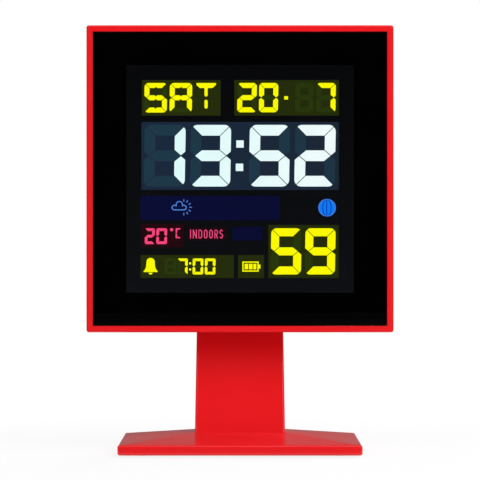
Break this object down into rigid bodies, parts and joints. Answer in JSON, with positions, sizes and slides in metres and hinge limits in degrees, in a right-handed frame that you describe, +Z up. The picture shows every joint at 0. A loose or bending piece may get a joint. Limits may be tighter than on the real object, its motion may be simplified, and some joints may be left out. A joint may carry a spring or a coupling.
{
  "type": "digital alarm clock",
  "caption": "Square desk alarm clock with a lit colour display in a black lens, a thin red rim, a leaning neck and a low hipped base.",
  "frame": {"origin": "under the middle of the base, on the table", "axes": "+Z up, the display faces -Y, +X to the viewer's right"},
  "size_m": [0.12, 0.06, 0.1687],
  "materials": {
    "red_shell": "polished moulding",
    "red_control": "polished moulding",
    "lens_acrylic": "polished clear sheet",
    "black_film": "printed film",
    "display_glass": "polished dark glass",
    "display_cell": "dim lit field",
    "display_white": "lit segment",
    "display_yellow": "lit segment",
    "display_pink": "lit segment",
    "display_blue": "lit segment",
    "white_plastic": "moulded",
    "white_film": "thin film",
    "colour_film": "tinted film",
    "clear_guide": "polished clear sheet",
    "grey_rubber": "soft strip",
    "black_rubber": "soft",
    "lamp_resin": "clear resin",
    "board": "solder resist",
    "black_plastic": "moulded",
    "chip_resin": "resin",
    "cream_plastic": "moulded",
    "bright_steel": "plated",
    "grey_steel": "rolled",
    "can_sleeve": "shrunk sleeve",
    "cell_sleeve": "printed sleeve",
    "ribbon_grey": "flat cable",
    "lead_red": "insulated wire",
    "white_ink": "pad print"
  },
  "bodies": {
    "clock": {"front_frame": "red_shell", "front_lens": "lens_acrylic", "lens_mask": "black_film", "lcd_holder": "white_plastic", "holder_screws": "bright_steel", "lcd_glass": "display_glass", "diffuser_film": "white_film", "colour_film": "colour_film", "light_guide": "clear_guide", "reflector_film": "white_film", "zebra_connectors": "grey_rubber", "backlight_leds": "lamp_resin", "main_board": "board", "board_screws": "bright_steel", "controller_blob": "chip_resin", "quartz_crystal": "bright_steel", "capacitor": "can_sleeve", "back_cover": "red_shell", "case_screws": "bright_steel", "key_board": "board", "key_screws": "bright_steel", "key_switches": "black_plastic", "snooze_switch": "black_plastic", "slide_switch": "bright_steel", "temperature_sensor": "black_plastic", "ribbon_cable": "ribbon_grey", "sounder": "black_plastic", "power_socket": "bright_steel", "socket_board": "board", "socket_screws": "bright_steel", "power_leads": "lead_red", "contact_plates": "bright_steel", "contact_springs": "bright_steel", "battery_leads": "lead_red", "battery_1": "cell_sleeve", "battery_2": "cell_sleeve", "battery_3": "cell_sleeve", "stand": "red_shell", "tongue_screws": "bright_steel", "base_plate": "black_plastic", "base_screws": "bright_steel", "base_weight": "grey_steel", "feet": "black_rubber"},
    "snooze": {"snooze_bar": "red_control", "snooze_stem": "cream_plastic"},
    "key_1": {"button_1": "red_control", "button_stem_1": "cream_plastic"},
    "key_2": {"button_2": "red_control", "button_stem_2": "cream_plastic"},
    "key_3": {"button_3": "red_control", "button_stem_3": "cream_plastic"},
    "key_4": {"button_4": "red_control", "button_stem_4": "cream_plastic"},
    "key_5": {"button_5": "red_control", "button_stem_5": "cream_plastic"},
    "alarm_slider": {"alarm_knob": "black_plastic", "knob_lever": "cream_plastic"},
    "door": {"battery_door": "red_shell"}
  },
  "joints": [
    {"name": "snooze_press", "type": "slide", "parent": "clock", "child": "snooze", "axis": [0, 0, -1], "range_m": [0, 0.0008], "stiffness_N_per_m": 1500},
    {"name": "key_1_press", "type": "slide", "parent": "clock", "child": "key_1", "axis": [0, -1, 0], "range_m": [0, 0.0005], "stiffness_N_per_m": 2000},
    {"name": "key_2_press", "type": "slide", "parent": "clock", "child": "key_2", "axis": [0, -1, 0], "range_m": [0, 0.0005], "stiffness_N_per_m": 2000},
    {"name": "key_3_press", "type": "slide", "parent": "clock", "child": "key_3", "axis": [0, -1, 0], "range_m": [0, 0.0005], "stiffness_N_per_m": 2000},
    {"name": "key_4_press", "type": "slide", "parent": "clock", "child": "key_4", "axis": [0, -1, 0], "range_m": [0, 0.0005], "stiffness_N_per_m": 2000},
    {"name": "key_5_press", "type": "slide", "parent": "clock", "child": "key_5", "axis": [0, -1, 0], "range_m": [0, 0.0005], "stiffness_N_per_m": 2000},
    {"name": "alarm_slide", "type": "slide", "parent": "clock", "child": "alarm_slider", "axis": [1, 0, 0], "range_m": [0, 0.004]},
    {"name": "door_hinge", "type": "hinge", "parent": "clock", "child": "door", "pos_m": [0, 0.0149, 0.08315], "axis": [-1, 0, 0], "range_deg": [0, 90]}
  ]
}
